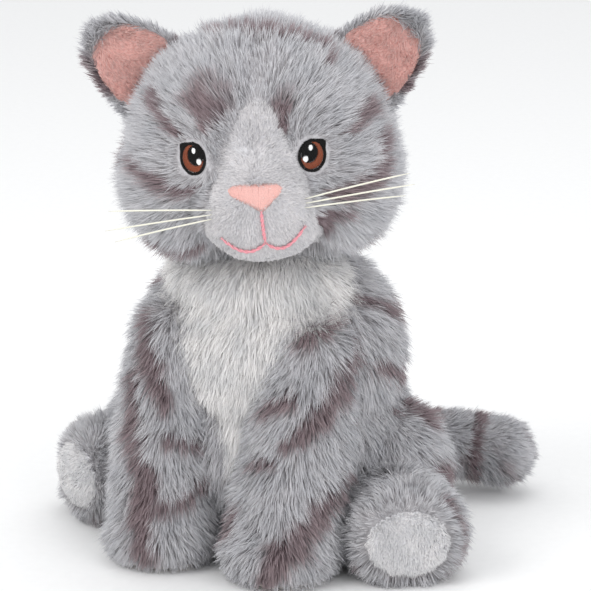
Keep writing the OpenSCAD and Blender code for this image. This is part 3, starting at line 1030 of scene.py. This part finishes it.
def build_ear(side):
    s = SIDE[side]
    hinge = move(HEAD_INV, joint_at(f"ear_{s}_fold"))
    axis = HEAD_INV[:3, :3] @ np.array(JOINT[f"ear_{s}_fold"]["axis"])
    axis = norm(axis * side)  # from the outer end of the base to the inner end
    rise = norm(np.cross(axis, [0, -1, 0]) * side)
    if rise[2] < 0:
        rise = -rise
    front = norm(np.cross(rise, axis))
    if front[1] > 0:
        front = -front
    front = norm(front + 0.12 * np.array([side, 0, 0]))
    wide, tall, nu, nv = 18.5 * MM, 36 * MM, 28, 24

    def place(u, v, lift):
        half = wide * (1 - 0.1 * v) * math.sqrt(max(1 - max(0, (v - 0.25) / 0.75) ** 2.3, 0))
        x = u * half
        low = -9 * MM - 9 * MM * max(0.0, -u)
        z = low + (tall - 2 * MM - low) * v - 2 * MM * u * u * v
        cup = 5.5 * MM * (u * u) * (1 - 0.3 * v) - 2.5 * MM + 3 * MM * v * v
        return hinge + axis * x + rise * z + front * (cup + lift)

    verts, faces, kind = [], [], []
    for layer, lift in ((0, 1.3 * MM), (1, -2.4 * MM)):
        for j in range(nv + 1):
            for i in range(nu + 1):
                u, v = 2 * i / nu - 1, j / nv
                edge = max(abs(u), v) ** 4
                verts.append(place(u, v, lift * (1 - 0.75 * edge)))
    row, layer = nu + 1, (nu + 1) * (nv + 1)
    for j in range(nv):
        for i in range(nu):
            a = j * row + i
            faces.append((a, a + 1, a + row + 1, a + row))
            kind.append(0)
            b = a + layer
            faces.append((b, b + row, b + row + 1, b + 1))
            kind.append(1)
    rim = [j * row for j in range(nv)] + [nv * row + i for i in range(nu)]
    rim += [nv * row + nu - j * row for j in range(nv)] + [nu - i for i in range(nu)]
    for a, b in zip(rim, rim[1:] + rim[:1]):
        faces.append((a, b, b + layer, a + layer))
        kind.append(1)
    mesh = new_object("ear_form", verts, faces)
    bm = bmesh.new()
    bm.from_mesh(mesh.data)
    bmesh.ops.remove_doubles(bm, verts=bm.verts, dist=0.02 * MM)
    bmesh.ops.recalc_face_normals(bm, faces=bm.faces)
    if bm.calc_volume(signed=True) < 0:
        bmesh.ops.reverse_faces(bm, faces=bm.faces)
    bm.to_mesh(mesh.data)
    bm.free()
    form = mesh.data
    bpy.data.objects.remove(mesh)
    mids = face_middles(form)
    n = np.array([tuple(p.normal) for p in form.polygons])
    rel = (mids - hinge) / MM
    along, up = rel @ axis, rel @ rise
    facing = n @ front > 0.35
    half = 15.5 * np.sqrt(np.clip(1 - (np.clip(up - 8, 0, None) / 23) ** 2, 0, 1))
    lining = facing & (np.abs(along) < half) & (up < 31)
    label = np.where(lining, 1, 0)
    crease(form, label, 0.6 * MM)
    panels = split(form, label, {0: f"ear_back_{s}_cloth", 1: f"ear_lining_{s}_cloth"})
    stripe_at = hinge + rise * 12 * MM - axis * 15 * MM
    strokes = [
        [(stripe_at, 4 * MM), (hinge + rise * 24 * MM - axis * 13 * MM, 4 * MM)],
        [(hinge + rise * 2 * MM + axis * 16 * MM, 4 * MM), (hinge - rise * 4 * MM, 3 * MM)],
    ]
    paint_skin(panels[0], strokes)
    p, n = scatter(panels[0].data, thin(15000), 80 + side)
    out = norm(p - hinge + rise * 4 * MM)
    length = PILE * (0.5 + 0.25 * smoothstep(6 * MM, 24 * MM, (p - hinge) @ rise))
    comb = out + 0.4 * rise
    fur = pile(
        f"ear_back_{s}_pile", p, n, length, comb, 0.55, FINE_BLADE, strokes_mask(p, strokes),
        84 + side, drop=0.04, floor=NO_FLOOR,
    )
    q, m = scatter(panels[1].data, thin(7000), 90 + side)
    pink = pile(
        f"ear_lining_{s}_pile", q, m, 2.6 * MM, np.repeat(rise[None], len(q), 0), 0.5, FINE_BLADE,
        np.zeros(len(q)), 94 + side, 6, 0.3, 0.0, NO_FLOOR,
    )
    for obj in (panels[0], panels[1], fur, pink):
        obj.data.transform(HEAD)
    dress(panels[0], TABBY_CLOTH, f"ear_{s}", f"ear_back_{s}")
    dress(panels[1], PINK_CLOTH, f"ear_{s}", f"ear_lining_{s}")
    dress(fur, TABBY, f"ear_{s}")
    dress(pink, PINK_SHORT, f"ear_{s}")


# ---- Front legs ----


def build_front_leg(side):
    s = SIDE[side]
    body = f"front_leg_{s}"
    top = joint_at(f"front_leg_{s}_swing")
    sole = middle(f"front_paw_sole_{s}")
    paw = np.array([sole[0], sole[1] + 2.5 * MM, 15 * MM])
    if side == RIGHT:
        paw += np.array([-2, 3, 0]) * MM
    knee = top * 0.5 + paw * 0.5 + [0.0015 * side, -0.002, 0]
    balls = chain(top, knee, 16.5 * MM, 18.5 * MM, 6) + chain(knee, paw, 18.5 * MM, 20.5 * MM, 6)
    balls.append((paw + [0, -2 * MM, -7 * MM], np.array([21.5, 21.5, 15]) * MM))
    balls.append((paw + [0, -4.5 * MM, -3 * MM], np.array([19.5, 20, 16]) * MM))
    skin = blob("leg_skin", balls, 2.4 * MM, 8)
    flatten(skin, SOLE)
    mids = face_middles(skin)
    label = np.where(mids[:, 2] < 1.8 * MM, 1, 0)
    stuff(skin, label, 1.0 * MM)
    flatten(skin, SOLE)
    filling = inset_copy(skin, f"front_leg_{s}_filling", 2.2 * MM)
    dress(filling, FILLING, body, f"front_leg_stuffing_{s}")
    panels = split(skin, label, {0: f"front_leg_{s}_cloth", 1: f"front_paw_sole_{s}_cloth"})
    tree = tree_of(skin)

    def axis(z):
        t = min(max((z * MM - paw[2]) / (top[2] - paw[2]), 0), 1)
        return tuple(paw * (1 - t) + top * t)[:2] + (z * MM,)

    if side == RIGHT:
        rows = [
            [(-40, 104, 2.5), (-10, 88, 4), (11, 72, 2.5)],
            [(-34, 82, 2.5), (-28, 72, 3), (-18, 54, 3.5), (-3, 42, 5), (-2, 26, 5), (4, 8, 4)],
            [(18, 58, 2.4), (55, 55, 2.6), (95, 51, 3)],
            [(14, 30, 3.2), (45, 35, 3), (68, 40, 2.5)],
            [(-100, 70, 3), (-140, 66, 3)],
            [(-100, 40, 3), (-140, 36, 3)],
        ]
    else:
        rows = [
            [(112, 103, 3), (64, 84, 4.5), (31, 69, 4.6), (8, 62, 2.6)],
            [(84, 106, 3), (30, 104, 3.5), (12, 103, 3)],
            [(4, 79, 3), (-28, 73, 2.6)],
            [(-4, 55, 2.2), (-28, 52, 2.4)],
            [(107, 48, 3), (72, 41, 4), (44, 32, 4.8), (20, 17, 5.2), (4, 6, 4)],
            [(-40, 33, 2.2), (-43, 22, 2.2)],
            [(-60, 32, 2.6), (-57, 18, 3)],
            [(110, 70, 3), (150, 66, 3)],
        ]
    strokes = ring_strokes(tree, axis, rows)
    paint_skin(panels[0], strokes)
    dress(panels[0], TABBY_CLOTH, body, f"front_leg_{s}")
    dress(panels[1], SOLE_CLOTH, body, f"front_paw_sole_{s}")
    p, n = scatter(panels[0].data, thin(MOST_BLADES), 100 + side)
    keep = (p[:, 2] > 3.4 * MM) & ((p[:, 1] < top[1] + 8 * MM) | (p[:, 2] < 70 * MM))
    p, n = p[keep], n[keep]
    low = smoothstep(2 * MM, 18 * MM, p[:, 2])
    fur = pile(
        f"front_leg_{s}_pile", p, n, PILE * (0.5 + 0.5 * low), brushed_down(p, n, 0.4),
        0.36 + 0.14 * low, BLADE, strokes_mask(p, strokes), 104 + side, drop=0.1 * low,
    )
    dress(fur, TABBY, body)


# ---- Hind legs ----


def build_hind_leg(side):
    s = SIDE[side]
    body = f"hind_leg_{s}"
    hip = joint_at(f"hind_leg_{s}_lift")
    pad = middle(f"foot_pad_{s}")
    way = pad - hip
    way[2] = 0
    way = norm(way)
    foot = pad - way * 13 * MM
    foot[2] = 19.5 * MM
    if side == RIGHT:
        foot += np.array([0, 4, 2.5]) * MM
    across = np.array([way[1], -way[0], 0.0])
    outward = across if across[0] * side > 0 else -across
    balls = [
        (hip + [2 * MM * side, -2 * MM, 4 * MM], np.array([23, 26, 28]) * MM),
        (hip + [0, -6 * MM, -4 * MM], np.array([24, 24, 22]) * MM),
    ]
    balls += chain(hip + [0, 0, -6 * MM], foot, 21 * MM, 18.5 * MM, 7)
    balls += [(foot + across * 2.5 * MM, 19 * MM), (foot - across * 2.5 * MM, 19 * MM)]
    balls.append((foot + outward * 5 * MM - way * 4 * MM, 18.5 * MM))
    skin = blob("hind_skin", balls, 2.2 * MM, 8)
    flatten(skin, SOLE)
    # the foot ends in a flat that carries the pad
    v = coords(skin)
    ahead = (v - foot) @ way
    v -= way * np.maximum(ahead - 11.5 * MM, 0)[:, None] * 0.85
    set_coords(skin, v)

    def from_pad(p):
        """How far points are from the middle of the pad, 1 at its edge, and if they face it."""
        rel = p - foot
        reach = np.hypot(rel @ across / (17.6 * MM), rel[:, 2] / (14.2 * MM))
        return reach, rel @ way > 6 * MM

    reach, ahead = from_pad(face_middles(skin))
    label = np.where(ahead & (reach < 1), 1, 0)
    stuff(skin, label, 1.2 * MM)
    flatten(skin, SOLE)
    filling = inset_copy(skin, f"hind_leg_{s}_filling", 2.2 * MM)
    dress(filling, FILLING, body, f"hind_leg_stuffing_{s}")
    # the pad is crowned, and the seam round it sinks
    v = coords(skin)
    reach, ahead = from_pad(v)
    crown = np.clip(1 - reach**2, 0, 1) * 3.2 * MM
    set_coords(skin, v + way * np.where(ahead, crown, 0)[:, None])
    crease(skin, label, 1.0 * MM)
    panels = split(skin, label, {0: f"hind_leg_{s}_cloth", 1: f"foot_pad_{s}_cloth"})
    tree = tree_of(skin)

    def axis(z):
        return (hip[0], hip[1], z * MM)

    def on_foot(out, ahead, up, half):
        """A point of a stroke on the foot, out from its middle line, ahead and up, in mm."""
        return foot + (outward * out + way * ahead + np.array([0, 0, up])) * MM, half * MM

    rows = [[(60, 62, 2.5), (96, 54, 3.5), (130, 56, 3)], [(70, 40, 3), (104, 34, 4), (140, 34, 3)]]
    strokes = ring_strokes(tree, axis, rows if side == LEFT else mirrored(rows))
    strokes.append([on_foot(15, 3, 14, 2.5), on_foot(20, 2, 0, 3.2), on_foot(15, 4, -13, 3.2)])
    strokes.append([on_foot(-14, 4, -8, 3.4), on_foot(-6, 6, -15, 3)])
    paint_skin(panels[0], strokes)
    dress(panels[0], TABBY_CLOTH, body, f"hind_leg_{s}")
    p, n = scatter(panels[0].data, thin(38000), 110 + side)
    keep = (p[:, 2] > 2.4 * MM) & (np.abs(p[:, 0]) > 20 * MM)
    p, n = p[keep], n[keep]
    rel = p - foot
    at_foot = smoothstep(-6 * MM, 8 * MM, rel @ way)[:, None]
    radial = norm(rel - (rel @ way)[:, None] * way)
    comb = brushed_down(p, n) * (1 - at_foot) + (radial * 0.5 - way * 0.2) * at_foot
    lay = 0.5 - 0.2 * at_foot[:, 0]
    length = PILE * (1 - 0.38 * at_foot[:, 0])
    mask = strokes_mask(p, strokes)
    fur = pile(f"hind_leg_{s}_pile", p, n, length, comb, lay, BLADE, mask, 114 + side)
    dress(fur, TABBY, body)
    dress(panels[1], VELOUR, body, f"foot_pad_{s}")
    p, n = scatter(panels[1].data, thin(9000), 120 + side)
    fur = pile(
        f"foot_pad_{s}_pile", p, n, 2.2 * MM, brushed_down(p, n), 0.4, FINE_BLADE,
        np.zeros(len(p)), 124 + side, 6, 0.3, 0.0,
    )
    dress(fur, WHITE_SHORT, body)


# ---- Tail ----


def build_tail():
    root = joint_at("tail_swing")
    low, high = (np.array(c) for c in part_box("tail_cover"))
    r = (high[2] - low[2]) / 2
    tip = np.array([high[0] - r + 1.5 * MM, high[1] - r, root[2] - 5 * MM])
    mid = root * 0.5 + tip * 0.5 + [-4 * MM, 7 * MM, 2 * MM]
    r = 9.6 * MM
    points = [
        (root * (1 - t) ** 2 + mid * 2 * t * (1 - t) + tip * t * t, r + 1.2 * MM * t)
        for t in np.linspace(0, 1, 14)
    ]
    skin = blob("tail_skin", points, 2.0 * MM, 7)
    filling = inset_copy(skin, "tail_filling", 2.0 * MM)
    dress(filling, FILLING, "tail", "tail_stuffing")
    obj = new_object("tail_cloth", coords(skin), faces_of(skin))
    smooth(obj.data)
    line = np.array([q for q, _ in points])
    steps = np.linalg.norm(np.diff(line, axis=0), axis=1)
    reach = np.concatenate([[0], np.cumsum(steps)])

    def along(p):
        """How far along the tail each point is, in metres, and the tail's heading there."""
        gap = np.linalg.norm(p[:, None] - line[None], axis=2)
        near = np.argsort(gap, axis=1)[:, :2]
        g = np.take_along_axis(gap, near, 1)
        w = g[:, ::-1] / g.sum(1, keepdims=True)
        head = norm(np.gradient(line, axis=0))
        return (reach[near] * w).sum(1), norm((head[near] * w[..., None]).sum(1))

    def rings(p):
        d, _ = along(p)
        d = d + 1.6 * MM * wobble(p, 14 * MM, 8)
        mask = np.zeros(len(p))
        for at in (14, 33, 52, 68):
            mask = np.maximum(mask, 1 - smoothstep(1.8 * MM, 4.2 * MM, np.abs(d - at * MM)))
        return mask

    set_attribute(obj.data, "stripe", rings(coords(obj.data)))
    dress(obj, TABBY_CLOTH, "tail", "tail_cover")
    p, n = scatter(obj.data, thin(30000), 130)
    _, heading = along(p)
    fur = pile("tail_pile", p, n, PILE * 0.86, heading, 0.45, BLADE, rings(p), 134)
    dress(fur, TABBY, "tail")


# ---- What stays from the CAD, inside ----


def finish_inside():
    for node, material in (
        ("bean_pouch", POUCH),
        ("bean_fill", PELLETS),
        ("neck_stuffing", FILLING),
        ("neck_thread", GREY_THREAD),
    ):
        obj = frame["nodes"][node]
        obj.data.materials.clear()
        obj.data.materials.append(material)


# ---- Studio ----


def area_light(name, at, target, width, power, tint=(1, 1, 1)):
    light = bpy.data.lights.new(name, "AREA")
    light.size = width
    light.energy = power
    light.color = tint
    obj = link(name, light)
    obj.location = at
    obj.rotation_euler = (Vector(target) - Vector(at)).to_track_quat("-Z", "Y").to_euler()


def build_studio():
    scene = bpy.context.scene
    scene.view_settings.view_transform = "Standard"
    scene.view_settings.look = "None"
    w = 3.0
    floor = new_object("floor", [(-w, -w, 0), (w, -w, 0), (w, w, 0), (-w, w, 0)], [(0, 1, 2, 3)])
    t = Nodes("floor_paper")
    fine = t.noise(220.0, 3.0)
    colour = t.mix(fine, (0.9, 0.9, 0.9, 1), (0.94, 0.94, 0.94, 1))
    floor.data.materials.append(t.output(t.principled(colour, 0.9, specular=0.1).outputs[0]))
    world = bpy.data.worlds.new("studio")
    world.use_nodes = True
    world.node_tree.nodes["Background"].inputs[0].default_value = (0.98, 0.99, 1.0, 1)
    world.node_tree.nodes["Background"].inputs[1].default_value = 0.88
    scene.world = world
    middle_at = (0, 0, 0.12)
    area_light("key", (-0.55, -1.0, 1.05), middle_at, 0.7, 6.0, (1.0, 0.99, 0.98))
    area_light("fill", (1.1, -0.7, 0.6), middle_at, 0.9, 4.5, (0.985, 0.99, 1.0))
    area_light("top", (0.1, 0.35, 1.3), middle_at, 0.8, 2.5)


def build_camera():
    turn, rise, away = math.radians(22), math.radians(15), 1.35
    span = 0.254  # width of the picture at the kitten, in metres
    right = Vector((math.cos(turn), math.sin(turn), 0))
    target = Vector((0, 0, 0.1077)) + right * 0.0131
    back = Vector((math.sin(turn) * math.cos(rise), -math.cos(turn) * math.cos(rise), math.sin(rise)))
    cam = bpy.data.cameras.new("camera")
    cam.sensor_width = 36
    cam.lens = cam.sensor_width * away / span
    cam.clip_start, cam.clip_end = 0.05, 20
    obj = link("camera", cam)
    obj.location = target + back * away
    obj.rotation_euler = (-back).to_track_quat("-Z", "Y").to_euler()
    bpy.context.scene.camera = obj


build_body()
face_tree = build_head()
for which in (LEFT, RIGHT):
    build_ear(which)
    build_eye(face_tree, which)
    build_front_leg(which)
    build_hind_leg(which)
build_nose_and_mouth(face_tree)
build_whiskers(face_tree)
build_tail()
finish_inside()
build_studio()
build_camera()
